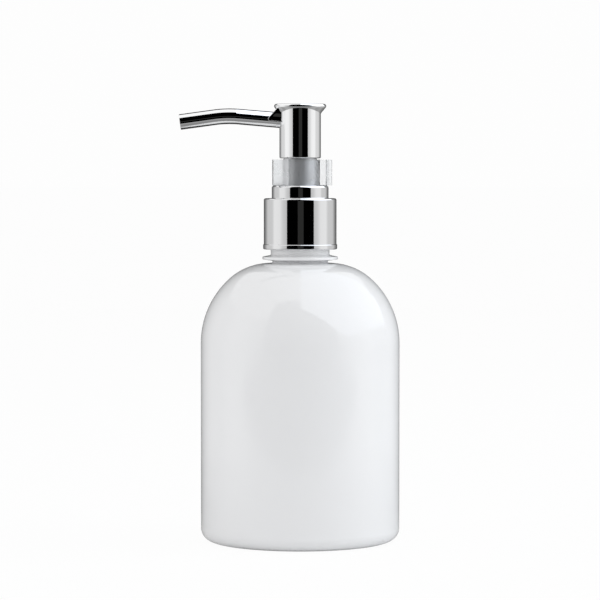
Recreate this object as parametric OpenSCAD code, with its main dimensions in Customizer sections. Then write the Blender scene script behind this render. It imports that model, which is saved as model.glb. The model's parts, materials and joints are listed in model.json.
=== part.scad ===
// Lotion pump bottle: a blown bottle, a chrome dispensing pump and a clip that locks the pump.
// The axis of the bottle is Z, the table is z = 0 and the spout points to -X.

/* [Bottle] */
// outer radius of the body
body_r = 43.42; // [38:0.5:46]
// height where the straight wall ends and the shoulder starts
wall_top = 86.5; // [76:0.5:96]
// radius of the shoulder's lower arc in side view
shoulder_r = 38; // [34:0.5:42]
// radius of the shoulder's upper arc, which ends level under the neck
crest_r = 26; // [22:0.5:28]
// angle at which the lower arc runs into the upper one, in degrees
crest_at = 48; // [42:1:52]
// radius of the heel between wall and base
heel_r = 5.5; // [4:0.1:8]
// thickness of the blown wall
wall = 0.8; // [0.5:0.05:1.2]
// height of the push-up under the base, at its centre
push_up = 4.5; // [2:0.5:6]
// inner radius of the ring that the bottle stands on
foot_in_r = 33.5; // [28:0.5:35]

/* [Neck finish] */
// length of the neck between the shoulder and the support ring
stub_h = 1.1; // [0.8:0.1:3]
// outer radius of the support ring
ring_r = 16.5; // [15.5:0.1:17]
// outer radius of the neck wall under the thread
neck_r = 12.83; // [12.7:0.01:12.9]
// radius of the bore through the neck
bore_r = 10.9; // [10.6:0.1:11.1]
// height of the finish above the top of the support ring
finish_h = 18; // [17.8:0.1:18.2]
// outer radius of the thread on the neck
thread_r = 13.65; // [13.4:0.01:13.7]
// rise of the thread in one turn
pitch = 4.233; // [4.2:0.001:4.3]

/* [Collar] */
// outer radius of the chrome collar
collar_r = 15.86; // [15.7:0.01:16.4]
// how far the rolled bead stands out at the collar's foot
bead_out = 0.3; // [0.1:0.05:0.5]
// outer radius of the step on top of the collar
step_r = 12.37; // [12.3:0.01:13]
// height of the step
step_h = 5.7; // [5.4:0.1:6]
// thickness of the collar's metal
shell_t = 0.5; // [0.4:0.05:0.6]

/* [Head] */
// outer radius of the head's skirt
head_r = 9.02; // [8.9:0.01:9.6]
// outer radius of the flared rim on top
rim_r = 11.5; // [11.2:0.1:12.5]
// height of the head, from the skirt's lower edge to the top
head_h = 23.7; // [22:0.1:26]
// travel of the head when the lock clip is off
stroke = 11.3; // [9:0.1:12]
// outer radius of the chrome sleeve under the head
sleeve_r = 7.3; // [7.2:0.01:7.35]

/* [Spout] */
// outer radius of the spout's tube
spout_r = 3.4; // [3.1:0.05:3.6]
// inner radius of the spout's tube
spout_in_r = 2.6; // [2.2:0.1:2.8]
// distance from the pump's axis to the bend
bend_x = 32.1; // [28:0.1:36]
// radius of the bend along the centre of the tube
bend_r = 49; // [40:1:60]
// how steeply the tube climbs to the bend, in degrees
climb = 4.9; // [3:0.1:6]
// how steeply the tube falls after the bend, in degrees
drop = 7.9; // [6:0.1:12]
// length from the bend to the tip
tip_len = 20.5; // [14:0.5:24]

/* [Lock clip] */
// inner radius of the clip's ring
clip_in_r = 7.4; // [7.38:0.01:7.5]
// thickness of the clip's wall
clip_t = 1.22; // [1:0.01:1.5]
// half of the mouth that snaps over the sleeve
mouth_half = 5.9; // [5.2:0.1:6.4]
// distance from the axis to the tips of the two guide lips
lip_x = 11.72; // [11.5:0.01:13]
// distance from the axis to the far side of the grip bar
grip_x = 13.9; // [13.5:0.1:16]
// angle by which each guide lip spreads outwards
splay = 24; // [15:1:35]

/* [Pump inside] */
// height of the pump's barrel, from the ledge under the spring to the rim of the neck
barrel_h = 44.1; // [42:0.1:50]
// radius of the bore that the piston runs in
pump_r = 6.4; // [6.2:0.1:6.6]
// outer radius of the stem
stem_r = 3.5; // [3.3:0.1:3.6]
// radius of the intake ball
ball_r = 2.5; // [2.3:0.1:2.6]
// lift of the intake ball
ball_lift = 1.5; // [1:0.1:2]
// radius of the outlet ball
out_ball_r = 2; // [1.9:0.05:2.1]
// outer radius of the dip tube
dip_r = 3; // [2.8:0.1:3.1]
// height of the dip tube's lower end above the table
dip_z = 8; // [7:0.5:20]
// turns of the return spring
spring_turns = 7; // [5:1:9]
// thickness of the spring's wire
wire = 0.9; // [0.7:0.1:1]

/* [Hidden] */
$fn = 96;
big = 400;
// the shoulder's two arcs, which share a tangent where they meet
shoulder_x = body_r - shoulder_r;
crest_x = shoulder_x + (shoulder_r - crest_r) * cos(crest_at);
crest_z = wall_top + (shoulder_r - crest_r) * sin(crest_at);
crest_top = crest_z + crest_r;
// heights of the neck and of the pieces stacked on it
ring_z = crest_top + stub_h;
ring_h = 2.6;
ring_top = ring_z + ring_h;
finish_z = ring_top + finish_h;
gasket_t = 1.2;
flange_z = finish_z + gasket_t;
flange_t = 1.6;
deck_z = flange_z + flange_t;
deck_t = 1.5;
// the short neck under the support ring and the gate mark of the base
stub_r = 12.06;
gate_r = 3;
// heights of the collar
bead_z = ring_top + 2.4;
bead_h = 2.2;
collar_top = deck_z + 3.8;
step_z = collar_top + step_h;
// the thread: its profile, its turns and the play between both sides
thread_turns = 1.5;
seg = 15;
lap = 0.5;
thread_mid = finish_z - 2.3 - thread_turns * pitch;
thread_play = 0.35;
female_in_r = neck_r + 0.2;
female_r = thread_r + 0.25;
// the head and the pieces in it
press_gap = 0.4;
head_z = step_z + stroke + press_gap;
top_z = head_z + head_h;
axis_drop = 7.85;
axis_z = top_z - axis_drop;
core_drop = 5;
core_z = axis_z - core_drop;
skirt_t = 1;
core_r = head_r - skirt_t;
sleeve_t = 0.7;
sleeve_in = 2;
sleeve_z = step_z - sleeve_in;
edge_t = 1;
edge_r = rim_r - edge_t;
rim_z = top_z - edge_t;
flare_h = 3;
flare_z = rim_z - flare_h;
lid_t = 1.2;
root_x = 3;
core_bore_r = 1.7;
// the gusset over the spout
gusset_w = 5.95;
gusset_in_x = 6;
gusset_top_x = 10.2;
gusset_x = 14;
gusset_edge = 1.05;
// the lock clip, with the play between it and the head
clip_gap = 0.15;
clip_h = stroke - clip_gap;
lip_t = 1.2;
grip_r = 1.35;
// the stem, the piston and the spring
piston_drop = 19.3;
piston_z = finish_z - piston_drop;
piston_h = 7;
stem_z = piston_z + 2;
stem_top = core_z + 0.5;
stem_in_r = 2.2;
seat_r = 1.6;
out_ball_z = stem_top + sqrt(out_ball_r * out_ball_r - seat_r * seat_r) + 0.01;
out_lift = 1.2;
coil_r = 4.6;
// the housing under the neck
ledge_z = finish_z - barrel_h;
spring_z = ledge_z;
barrel_t = 1.2;
chamber_r = ball_r + 0.6;
chamber_t = 1.4;
chamber_drop = 4;
ball_drop = 6.4;
ball_z = ledge_z - ball_drop;
hole_r = 1.9;
seat_z = ball_z - sqrt(ball_r * ball_r - hole_r * hole_r) - 0.01;
socket_drop = 19;
socket_z = ledge_z - socket_drop;
socket_top = seat_z - 1;
vent_r = 0.6;
vent_drop = 8;
// the housing's head in the neck, and the cap on it
throat_drop = 1.6;
throat_z = finish_z - throat_drop;
funnel_h = 6;
throat_r = 9.6;
cone_r = 8.2;
plug_r = 10.2;
gasket_in_r = 10.25;
flange_r = 13.2;
cup_r = 9;
eye_r = 10.4;
guide_r = sleeve_r + 0.2;
cap_top_r = 9.7;
cap_rim_r = 11.9;
cap_rim_t = 1.4;

// which piece is drawn

// a rectangle of a turned profile, from radius r0 to r1 and from height z0 to z1
module band(r0, r1, z0, z1) {
  translate([r0, z0])
    square([r1 - r0, z1 - z0]);
}

// takes the sharp corner at (x, z) off a turned profile, leaving a quarter round
module corner_off(x, z, r, sx = 1, sz = 1) {
  translate([x, z])
    scale_signs(sx, sz)
      difference() {
        translate([-r, -r])
          square([r + 1, r + 1]);
        translate([-r, -r])
          circle(r);
        translate([-r - 1, -r - 1])
          square([1, r + 2]);
        translate([-r - 1, -r - 1])
          square([r + 2, 1]);
      }
}

// mirrors its child for a corner on the inner side or on the lower side
module scale_signs(sx, sz) {
  mirror([sx < 0 ? 1 : 0, 0])
    mirror([0, sz < 0 ? 1 : 0])
      children();
}

// the bottle's body in side view, made smaller by t all round
module body_profile(t) {
  joint_z = wall_top + (shoulder_r - t) * sin(crest_at);
  band(0, body_r - t, heel_r, wall_top);
  band(0, body_r - heel_r, t, heel_r + 1);
  intersection() {
    translate([body_r - heel_r, heel_r])
      circle(heel_r - t);
    band(0, body_r, 0, heel_r);
  }
  intersection() {
    translate([shoulder_x, wall_top])
      circle(shoulder_r - t);
    band(0, body_r, wall_top, joint_z);
  }
  intersection() {
    translate([crest_x, crest_z])
      circle(crest_r - t);
    band(0, body_r, crest_z, big);
  }
  band(0, crest_x, wall_top, crest_top - t);
}

// one piece of a stepped helical ridge, between the radii ra (root) and rb (crest)
module ridge(ra, rb, root_w, crest_w, turns, z0, first) {
  steps = round(turns * 360 / seg);
  for (i = [0 : steps - 1])
    rotate([0, 0, first + i * seg])
      translate([0, 0, z0 + (i + 0.5) * pitch * seg / 360])
        rotate_extrude(angle = seg + lap)
          polygon([[ra, -root_w / 2], [rb, -crest_w / 2], [rb, crest_w / 2], [ra, root_w / 2]]);
}

// blown bottle with its neck, support ring, thread and push-up base
module bottle() {
  dome_r = (foot_in_r * foot_in_r + push_up * push_up) / (2 * push_up);
  color([0.95, 0.95, 0.96]) {
    difference() {
      union() {
        rotate_extrude()
          body_profile(0);
        cylinder(r = stub_r, h = ring_z + 1);
        rotate_extrude()
          polygon([[0, crest_top - 0.4], [stub_r + 0.8, crest_top - 0.4],
            [stub_r + 0.8, crest_top], [stub_r, crest_top + 0.6], [0, crest_top + 0.6]]);
        rotate_extrude()
          polygon([[0, ring_z - 0.2], [stub_r, ring_z - 0.2], [stub_r + 0.6, ring_z + 0.1],
            [ring_r, ring_z + 0.6], [ring_r, ring_z + 1.75], [neck_r + 0.6, ring_top - 0.25],
            [neck_r, ring_top + 0.3], [0, ring_top + 0.3]]);
        cylinder(r = neck_r, h = finish_z);
        ridge(neck_r - 0.3, thread_r, 2.4, 1, thread_turns, thread_mid, 0);
      }
      translate([0, 0, push_up - dome_r])
        sphere(r = dome_r);
      difference() {
        rotate_extrude()
          body_profile(wall);
        translate([0, 0, push_up - dome_r])
          sphere(r = dome_r + wall);
      }
      translate([0, 0, wall_top])
        cylinder(r = bore_r, h = finish_z);
    }
    translate([0, 0, push_up - 0.4])
      cylinder(r = gate_r, h = 0.4 + wall / 2);
  }
}

// moulded screw closure inside the chrome collar
module closure() {
  out_r = collar_r - shell_t;
  color([0.93, 0.93, 0.93]) {
    rotate_extrude()
      difference() {
        band(eye_r, out_r, bead_z + 0.5, collar_top - shell_t);
        band(0, female_r, 0, deck_z);
        band(0, step_r - 0.2, deck_z + deck_t, big);
        corner_off(out_r, collar_top - shell_t, 0.3);
      }
    ridge(female_r + 0.3, female_in_r, 2.1, 0.9, 1.25, female_mid(), 0);
  }
}

// height where the closure's thread starts, just under the thread on the neck
function female_mid() = thread_mid - 1.35 - thread_play;

// chrome collar that is pressed over the closure
module collar_shell() {
  color([0.78, 0.79, 0.81])
    rotate_extrude()
      difference() {
        union() {
          difference() {
            band(0, collar_r, bead_z + bead_h / 2, collar_top);
            corner_off(collar_r, collar_top, 0.8);
          }
          difference() {
            band(0, collar_r + bead_out, bead_z, bead_z + bead_h);
            corner_off(collar_r + bead_out, bead_z + bead_h, 0.3);
            corner_off(collar_r + bead_out, bead_z, 0.5, 1, -1);
          }
          difference() {
            band(0, step_r, collar_top - 0.3, step_z);
            corner_off(step_r, step_z, 1.2);
          }
        }
        difference() {
          band(0, collar_r - shell_t, bead_z - 1, collar_top - shell_t);
          corner_off(collar_r - shell_t, collar_top - shell_t, 0.3);
        }
        difference() {
          band(0, step_r - shell_t, collar_top - 1, step_z - shell_t);
          corner_off(step_r - shell_t, step_z - shell_t, 0.7);
        }
        band(0, guide_r + 0.25, 0, big);
      }
}

// soft ring that seals the housing's flange on the finish
module gasket() {
  color([0.85, 0.85, 0.85])
    rotate_extrude()
      band(gasket_in_r, flange_r, finish_z, flange_z);
}

// pump cylinder that hangs through the neck
module housing() {
  barrel_r = pump_r + barrel_t;
  funnel_z = throat_z - funnel_h;
  chamber_z = ledge_z - chamber_drop;
  color([0.94, 0.94, 0.92])
    difference() {
      rotate_extrude() {
        band(0, flange_r, flange_z, deck_z);
        band(0, plug_r, throat_z - 1.3, deck_z + deck_t);
        polygon([[0, funnel_z], [barrel_r, funnel_z], [barrel_r, funnel_z + 1],
          [throat_r, funnel_z + funnel_h / 2], [throat_r, throat_z], [0, throat_z]]);
        band(0, barrel_r, ledge_z - 1, funnel_z + 1);
        polygon([[0, chamber_z], [chamber_r + chamber_t, chamber_z], [barrel_r, ledge_z - 1],
          [0, ledge_z - 1]]);
        band(0, chamber_r + chamber_t, socket_z, chamber_z);
      }
      rotate_extrude() {
        band(0, cup_r, throat_z, big);
        polygon([[0, throat_z - 3.5], [pump_r, throat_z - 3.5], [cone_r, throat_z - 1.5],
          [cone_r, throat_z + 1], [0, throat_z + 1]]);
        band(0, pump_r, ledge_z, throat_z - 3);
        band(0, chamber_r + 0.8, ledge_z - 1.4, ledge_z + 1);
        band(0, ball_r - 0.12, ball_z, ledge_z);
        band(0, chamber_r, ball_z - 0.5, ball_z + ball_lift + 0.9);
        polygon([[0, seat_z], [hole_r, seat_z], [chamber_r, ball_z - 0.4], [0, ball_z - 0.4]]);
        band(0, hole_r, socket_z, ball_z);
        band(0, dip_r, socket_z - 1, socket_top);
        polygon([[0, socket_z - 1], [dip_r + 1.2, socket_z - 1], [dip_r, socket_z + 1],
          [0, socket_z + 1]]);
      }
      translate([0, 0, throat_z - vent_drop])
        rotate([0, 90, 0])
          cylinder(r = vent_r, h = plug_r, $fn = 24);
    }
}

// cap that closes the housing and guides the sleeve
module housing_cap() {
  color([0.94, 0.94, 0.94])
    rotate_extrude()
      difference() {
        union() {
          band(guide_r, cup_r, throat_z, deck_z + deck_t + 1);
          band(guide_r, cap_rim_r, deck_z + deck_t, deck_z + deck_t + cap_rim_t);
          band(guide_r, cap_top_r, deck_z + deck_t, step_z - shell_t);
        }
        corner_off(cap_top_r, step_z - shell_t, 0.5);
      }
}

// tube that reaches down to the base, cut on the slant
module dip_tube() {
  color([0.92, 0.93, 0.92])
    difference() {
      translate([0, 0, dip_z])
        cylinder(r = dip_r, h = socket_top - dip_z);
      translate([0, 0, dip_z - 1])
        cylinder(r = dip_r - 0.7, h = socket_top);
      translate([-dip_r, -10, dip_z])
        rotate([0, 35, 0])
          translate([-10, 0, -20])
            cube([30, 20, 20]);
    }
}

// coil spring made of half rings that climb by half a turn each
module return_spring() {
  rise = (piston_z - wire - spring_z) / spring_turns;
  lean = asin(rise / (4 * coil_r));
  color([0.72, 0.73, 0.75])
    translate([0, 0, spring_z + wire / 2]) {
      for (i = [0 : 2 * spring_turns - 1])
        translate([0, 0, (i + 0.5) * rise / 2])
          rotate([0, 0, 180 * i])
            rotate([0, -lean, 0])
              rotate([0, 0, 180])
                rotate_extrude(angle = 180)
                  translate([coil_r / cos(lean), 0])
                    circle(wire / 2, $fn = 24);
      for (i = [1 : 2 * spring_turns - 1])
        translate([i % 2 == 0 ? -coil_r : coil_r, 0, i * rise / 2])
          sphere(wire / 2, $fn = 24);
    }
}

// steel ball of the intake valve
module intake_ball() {
  color([0.7, 0.7, 0.72])
    translate([0, 0, ball_z])
      sphere(r = ball_r);
}

// piston with two sealing lips, pressed onto the stem
module piston() {
  lip_r = pump_r - 0.03;
  color([0.9, 0.9, 0.88])
    rotate_extrude()
      difference() {
        union() {
          band(0, 5.4, piston_z, piston_z + piston_h);
          polygon([[4, piston_z + 1.4], [lip_r, piston_z], [lip_r, piston_z + 0.8],
            [5.4, piston_z + 2.6], [4, piston_z + 3]]);
          polygon([[4, piston_z + piston_h - 3], [5.4, piston_z + piston_h - 2.6],
            [lip_r, piston_z + piston_h - 0.8], [lip_r, piston_z + piston_h],
            [4, piston_z + piston_h - 1.4]]);
        }
        band(0, stem_in_r, 0, big);
        band(0, stem_r, stem_z, big);
      }
}

// hollow stem from the piston to the head
module stem() {
  color([0.93, 0.93, 0.92])
    rotate_extrude()
      difference() {
        band(seat_r, stem_r, stem_z, stem_top);
        band(0, stem_in_r, stem_z - 1, stem_top - 3);
        polygon([[0, stem_top - 3.1], [stem_in_r, stem_top - 3.1], [0, stem_top - 0.9]]);
      }
}

// ball of the outlet valve, resting on the top of the stem
module outlet_ball() {
  color([0.7, 0.7, 0.72])
    translate([0, 0, out_ball_z])
      sphere(r = out_ball_r);
}

// chrome sleeve that hides the stem
module stem_sleeve() {
  color([0.78, 0.79, 0.81])
    rotate_extrude()
      difference() {
        band(sleeve_r - sleeve_t, sleeve_r, sleeve_z, core_z);
        corner_off(sleeve_r, sleeve_z, 0.3, 1, -1);
      }
}

// moves its child onto the climbing part of the spout, with +Z along the tube
module on_climb() {
  translate([0, 0, axis_z])
    rotate([0, climb - 90, 0])
      children();
}

// chrome head with its flared rim and the gusset over the spout
module head_shell() {
  color([0.78, 0.79, 0.81])
    difference() {
      union() {
        rotate_extrude()
          difference() {
            union() {
              band(0, head_r, head_z, rim_z);
              polygon([[0, flare_z], [head_r, flare_z],
                [edge_r + 0.74 * edge_t, rim_z - 0.68 * edge_t], [edge_r, rim_z], [0, rim_z]]);
              translate([edge_r, rim_z])
                circle(edge_t);
              band(0, edge_r, rim_z - edge_t, top_z);
            }
            corner_off(head_r, head_z, 0.6, 1, -1);
          }
        translate([0, gusset_w / 2, 0])
          rotate([90, 0, 0])
            linear_extrude(gusset_w)
              polygon([[-gusset_in_x, axis_z + 1], [-gusset_x, axis_z + 1.2],
                [-gusset_x, axis_z + 1.2 + gusset_edge], [-gusset_top_x, rim_z - 0.4],
                [-gusset_in_x, rim_z - 0.4]]);
      }
      rotate_extrude()
        band(0, core_r, head_z - 1, top_z - lid_t);
      on_climb()
        cylinder(r = spout_r, h = bend_x);
    }
}

// moulded core that joins the stem to the spout
module head_core() {
  color([0.93, 0.93, 0.93])
    difference() {
      rotate_extrude()
        difference() {
          union() {
            band(0, core_r, core_z, top_z - lid_t);
            band(0, sleeve_r - sleeve_t, head_z + 1.2, core_z + 1);
          }
          band(0, stem_r, head_z, stem_top);
          band(0, out_ball_r + 0.6, stem_top - 1, out_ball_z + out_ball_r + out_lift + 0.3);
        }
      on_climb() {
        cylinder(r = core_bore_r, h = head_r);
        translate([0, 0, root_x])
          cylinder(r = spout_r, h = bend_x);
      }
    }
}

// bent tube that carries the lotion out, with a square-cut tip
module spout() {
  turn = climb + drop;
  tangent = bend_r * tan(turn / 2);
  leg = bend_x / cos(climb) - tangent - root_x;
  color([0.78, 0.79, 0.81])
    on_climb()
      translate([0, 0, root_x]) {
        tube(leg);
        translate([0, 0, leg])
          bend(turn);
        translate([0, 0, leg])
          translate([-bend_r, 0, 0])
            rotate([0, -turn, 0])
              translate([bend_r, 0, 0])
                tube(tip_len - tangent);
      }
}

// straight length of the spout's tube along +Z
module tube(h) {
  difference() {
    cylinder(r = spout_r, h = h);
    translate([0, 0, -1])
      cylinder(r = spout_in_r, h = h + 2);
  }
}

// bent length of the spout's tube, from +Z towards -X of its own frame
module bend(turn) {
  translate([-bend_r, 0, 0])
    rotate([90, 0, 0])
      rotate_extrude(angle = turn)
        translate([bend_r, 0])
          difference() {
            circle(spout_r);
            circle(spout_in_r);
          }
}

// springy clip that keeps the head up until it is pulled off to +X
module lock_clip() {
  ring_out = clip_in_r + clip_t;
  end_x = -sqrt(clip_in_r * clip_in_r - mouth_half * mouth_half);
  color([0.88, 0.9, 0.92])
    translate([0, 0, step_z])
      linear_extrude(clip_h) {
        difference() {
          circle(ring_out);
          circle(clip_in_r);
          translate([-2 * ring_out, -mouth_half])
            square([2 * ring_out, 2 * mouth_half]);
        }
        for (side = [-1, 1])
          translate([end_x - 0.3, side * (mouth_half + 0.5)])
            rotate([0, 0, 180 - side * splay])
              lip((lip_x + end_x - 0.8) / cos(splay));
        translate([ring_out - 0.5, -lip_t / 2])
          square([grip_x - ring_out - grip_r, lip_t]);
        translate([grip_x - grip_r, 0])
          circle(grip_r);
      }
}

// one guide lip of the clip, with round ends
module lip(len) {
  translate([0, -lip_t / 2])
    square([len, lip_t]);
  circle(lip_t / 2);
  translate([len, 0])
    circle(lip_t / 2);
}

bottle();
closure();
collar_shell();
gasket();
housing();
housing_cap();
dip_tube();
return_spring();
intake_ball();
piston();
stem();
outlet_ball();
stem_sleeve();
head_shell();
head_core();
spout();
lock_clip();
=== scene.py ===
# %% [markdown]
# # A bottle with a dispensing pump
#
# The CAD carries the sizes and the joints. This script gives the visible pieces smooth
# surfaces, materials and studio light, and each new piece stands for one CAD node.

import json
import math

import bmesh
import bpy
from mathutils import Matrix, Vector

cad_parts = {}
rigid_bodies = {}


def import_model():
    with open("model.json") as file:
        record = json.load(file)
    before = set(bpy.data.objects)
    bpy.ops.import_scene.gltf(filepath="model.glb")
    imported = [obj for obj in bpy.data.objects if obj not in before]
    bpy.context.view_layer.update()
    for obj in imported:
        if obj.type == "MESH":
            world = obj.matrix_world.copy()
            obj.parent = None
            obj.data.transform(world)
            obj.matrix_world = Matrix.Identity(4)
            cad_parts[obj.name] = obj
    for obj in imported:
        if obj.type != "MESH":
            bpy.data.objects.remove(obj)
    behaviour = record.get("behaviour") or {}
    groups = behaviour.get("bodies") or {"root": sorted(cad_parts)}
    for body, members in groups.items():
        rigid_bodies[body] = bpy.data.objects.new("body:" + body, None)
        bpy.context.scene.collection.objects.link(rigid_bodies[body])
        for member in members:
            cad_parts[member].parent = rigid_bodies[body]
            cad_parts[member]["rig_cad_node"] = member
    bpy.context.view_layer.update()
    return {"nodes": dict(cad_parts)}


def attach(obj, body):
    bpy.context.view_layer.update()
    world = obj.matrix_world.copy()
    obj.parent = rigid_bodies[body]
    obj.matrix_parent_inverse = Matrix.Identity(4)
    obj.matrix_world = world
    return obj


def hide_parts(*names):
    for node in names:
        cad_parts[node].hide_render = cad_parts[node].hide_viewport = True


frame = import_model()
MM = 0.001
print("CAD nodes:", ", ".join(sorted(frame["nodes"])))

# %% [markdown]
# ## The camera
#
# The photograph was taken from about 1.25 m with a long lens, with the eye a little below
# the pump's head. A long lens keeps the two walls of the bottle nearly parallel. The lens
# is worked out from the width of the picture at the bottle's axis.

# %% The camera
PICTURE_WIDTH = 0.2622
SIDE_SHIFT = -0.00007
EYE = Vector((SIDE_SHIFT, -1.25, 0.165))
AIM = Vector((SIDE_SHIFT, 0.0, 0.1053))
SENSOR = 36.0

camera_data = bpy.data.cameras.new("camera")
camera = bpy.data.objects.new("camera", camera_data)
bpy.context.scene.collection.objects.link(camera)
camera_data.sensor_width = SENSOR
camera_data.lens = SENSOR * (EYE - AIM).length / PICTURE_WIDTH
camera.location = EYE
camera.rotation_mode = "QUATERNION"
camera.rotation_quaternion = (AIM - EYE).to_track_quat("-Z", "Y")
camera_data.clip_start = 0.05
camera_data.clip_end = 20.0
bpy.context.scene.camera = camera
print(f"lens {camera_data.lens:.1f} mm at {(EYE - AIM).length:.3f} m")

# %% [markdown]
# ## Drawing a profile
#
# Most of this object is turned: the bottle, the collar, the sleeve and the head are all
# round about the axis. On a lathe drawing such a piece is half a section. The helpers below
# draw that section as a chain of vertices: `line` extrudes the last vertex to a new place,
# `arc` spins it about a centre, so a rounded corner is a true arc, and `follow` leads it
# along a soft edge of a moulding. The section lies in the XZ plane, with X as the radius,
# in millimetres.

# %% Helpers that draw a section
HOLD = 0.2 * MM
ABOUT_Y = (0.0, -1.0, 0.0)
ABOUT_Z = (0.0, 0.0, 1.0)
ORIGIN = (0.0, 0.0, 0.0)


def verts_in(made):
    """The vertices among the things that an operator made."""
    return [g for g in made if isinstance(g, bmesh.types.BMVert)]


def edges_in(made):
    """The edges among the things that an operator made."""
    return [g for g in made if isinstance(g, bmesh.types.BMEdge)]


def spin(bm, geom, centre, axis, angle, steps, rise=0.0, closed=False):
    """Spins geometry by an angle in radians and returns its last copy; rise is per step."""
    made = bmesh.ops.spin(
        bm,
        geom=geom,
        cent=centre,
        axis=axis,
        dvec=(0.0, 0.0, rise),
        angle=angle,
        steps=steps,
        use_merge=closed,
        use_duplicate=False,
    )
    return made["geom_last"]


def start(x, z):
    """A new mesh with the first vertex of a section."""
    bm = bmesh.new()
    return bm, bm.verts.new(Vector((x, 0.0, z)) * MM)


def line(bm, vert, x, z):
    """Extrudes the last vertex of a section to the radius x and the height z.

    A long line gets an extra vertex close to each end. There the smooth shading of a
    rounded corner stops, so that the long wall between them stays flat to the light.
    """
    here = vert.co.copy()
    there = Vector((x, 0.0, z)) * MM
    way = there - here
    stops = [there]
    if way.length > 5 * HOLD:
        stops = [here + way.normalized() * HOLD, there - way.normalized() * HOLD, there]
    for place in stops:
        vert = bmesh.ops.extrude_vert_indiv(bm, verts=[vert])["verts"][0]
        vert.co = place
    return vert


def arc(bm, vert, x, z, degrees, steps):
    """Spins the last vertex about (x, z); a positive angle goes from +X towards +Z."""
    centre = Vector((x, 0.0, z)) * MM
    return verts_in(spin(bm, [vert], centre, ABOUT_Y, math.radians(degrees), steps))[0]


def follow(bm, vert, x, z, offsets):
    """Leads a section along a soft edge; the offsets are outwards and upwards from (x, z)."""
    for out, up in offsets:
        vert = line(bm, vert, x + out, z + up)
    return vert


# %% [markdown]
# ## Turning and finishing
#
# `turn` spins the closed section through a full turn, as a lathe does. The spin closes on
# itself, and the points on the axis are merged to one pole. Then the normals are set to
# point outwards and the sharp edges are marked by their angle, so that the long curves
# shade smoothly while a real corner stays crisp. `ease` gives a cut edge its small bevel.

# %% Helpers that turn a section and keep a piece
SHARP = math.radians(32)
SAME_PLACE = 1e-7
ON_AXIS = 1e-9


def turn(bm, first, last, steps):
    """Closes the section and spins it about the bottle's axis."""
    apart = (first.co - last.co).length > ON_AXIS
    if apart and abs(first.co.x) + abs(last.co.x) > ON_AXIS:
        bm.edges.new((last, first))
    spin(bm, bm.verts[:] + bm.edges[:], ORIGIN, ABOUT_Z, 2 * math.pi, steps, closed=True)
    bmesh.ops.remove_doubles(bm, verts=bm.verts[:], dist=SAME_PLACE)


def ease(bm, edges, width):
    """Rounds edges by a bevel whose width is in millimetres."""
    bmesh.ops.bevel(
        bm,
        geom=edges,
        offset=width * MM,
        offset_type="OFFSET",
        affect="EDGES",
        segments=3,
        profile=0.5,
        material=-1,
    )


def make_object(bm, name):
    """Puts a mesh into the scene as an object at the origin."""
    mesh = bpy.data.meshes.new(name)
    bm.to_mesh(mesh)
    bm.free()
    obj = bpy.data.objects.new(name, mesh)
    bpy.context.scene.collection.objects.link(obj)
    return obj


def open_edges(mesh):
    """How many edges of a mesh belong to one face only."""
    used = {}
    for polygon in mesh.polygons:
        for key in polygon.edge_keys:
            used[key] = used.get(key, 0) + 1
    return sum(1 for faces in used.values() if faces == 1)


def keep(bm, name, node, body):
    """Makes the mesh a piece that stands for a CAD node and rides on its body."""
    bmesh.ops.recalc_face_normals(bm, faces=bm.faces[:])
    for face in bm.faces:
        face.smooth = True
    for edge in bm.edges:
        edge.smooth = len(edge.link_faces) == 2 and edge.calc_face_angle() < SHARP
    piece = make_object(bm, name)
    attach(piece, body)
    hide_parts(node)
    print(f"{name}: {len(piece.data.polygons)} faces, {open_edges(piece.data)} open edges")
    return piece


# %% [markdown]
# ## The bottle
#
# A bottle like this is blown from a preform whose neck is moulded first. So the neck is
# thick and exact, with a support ring and a thread, and the body is a thin wall with one
# big arc for a shoulder, a round heel and a base pushed up in the middle, so that it stands
# on a ring. The gate mark, where the preform was filled, is a small disc under the base.
# The section runs up the outside, over the rim and down the inside.

# %% The bottle's sizes
BODY_R, HEEL_R, WALL = 43.42, 5.5, 0.8
WALL_TOP, SHOULDER_R, CREST_R, CREST_AT = 86.5, 38.0, 26.0, 48.0
PUSH_UP, FOOT_IN = 4.5, 33.5
GATE_R, GATE_DEPTH = 3.0, 0.4
STUB_R, STUB_H = 12.06, 1.1
RING_R, RING_H = 16.5, 2.6
NECK_R, BORE_R, FINISH_H, LIP_EASE = 12.83, 10.9, 18.0, 0.4

DOME_R = (FOOT_IN**2 + PUSH_UP**2) / (2 * PUSH_UP)
SHOULDER_X = BODY_R - SHOULDER_R
CREST_X = SHOULDER_X + (SHOULDER_R - CREST_R) * math.cos(math.radians(CREST_AT))
CREST_Z = WALL_TOP + (SHOULDER_R - CREST_R) * math.sin(math.radians(CREST_AT))
CREST_TOP = CREST_Z + CREST_R
RING_Z = CREST_TOP + STUB_H
RING_TOP = RING_Z + RING_H
FINISH_Z = RING_TOP + FINISH_H

# Soft edges of the neck's moulding, as offsets outwards and upwards from a corner.
STUB_FOOT = ((0.8, 0.03), (0.45, 0.12), (0.2, 0.3), (0.05, 0.55), (0.0, 0.85))
STUB_HEAD = ((0.4, 0.05),)
RING_EDGE = ((-0.3, 0.55), (-0.05, 0.7), (0.0, 0.95), (0.0, 1.4), (-0.1, 1.68), (-0.4, 1.82))
NECK_FOOT = ((0.75, -0.28), (0.25, -0.12), (0.0, 0.25))
BOTTLE_STEPS = 160
print(f"shoulder meets the neck at {CREST_TOP:.2f} mm, the neck ends at {FINISH_Z:.2f} mm")

# %% The bottle's section and its turn


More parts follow.
